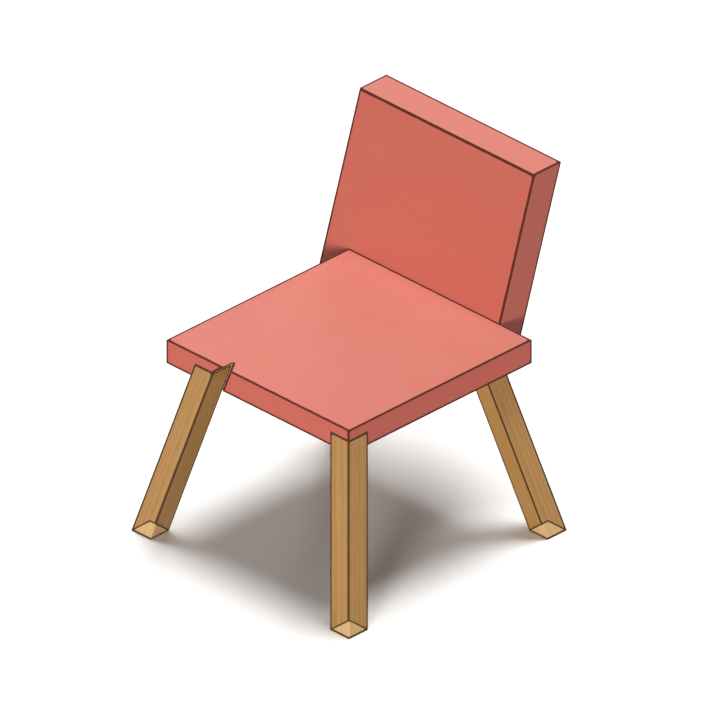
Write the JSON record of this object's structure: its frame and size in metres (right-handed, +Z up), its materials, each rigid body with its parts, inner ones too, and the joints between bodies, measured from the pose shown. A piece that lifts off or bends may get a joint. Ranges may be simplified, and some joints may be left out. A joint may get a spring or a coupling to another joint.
{
  "type": "broken wooden chair",
  "caption": "Low slab chair on splayed square legs, out of true: its raked backrest has slipped sideways on the seat, and the seat's front edge is torn beside a leg.",
  "frame": {"origin": "on the floor, under the middle of the whole chair's box", "axes": "+Z up from the floor, -Y out of the front of the seat, +X to the right of someone who stands in front and faces the chair"},
  "size_m": [0.5886, 0.6864, 0.69],
  "materials": {
    "coral_paint": "coral satin paint on wood, worn through along the arrises",
    "varnished_leg_wood": "tan varnished wood, bare and pale at the feet",
    "torn_wood": "raw, fibrous, where the seat's edge has torn",
    "dowel_wood": "bare wood, as turned"
  },
  "bodies": {
    "root": {"seat": "coral_paint", "backrest": "coral_paint", "front_left_leg": "varnished_leg_wood", "front_right_leg": "varnished_leg_wood", "rear_left_leg": "varnished_leg_wood", "rear_right_leg": "varnished_leg_wood", "front_left_dowel_1": "dowel_wood", "front_left_dowel_2": "dowel_wood", "front_right_dowel_1": "dowel_wood", "front_right_dowel_2": "dowel_wood", "rear_left_dowel_1": "dowel_wood", "rear_left_dowel_2": "dowel_wood", "rear_right_dowel_1": "dowel_wood", "rear_right_dowel_2": "dowel_wood", "back_dowel_1": "dowel_wood", "back_dowel_2": "dowel_wood", "back_dowel_3": "dowel_wood", "back_dowel_4": "dowel_wood"}
  },
  "joints": []
}
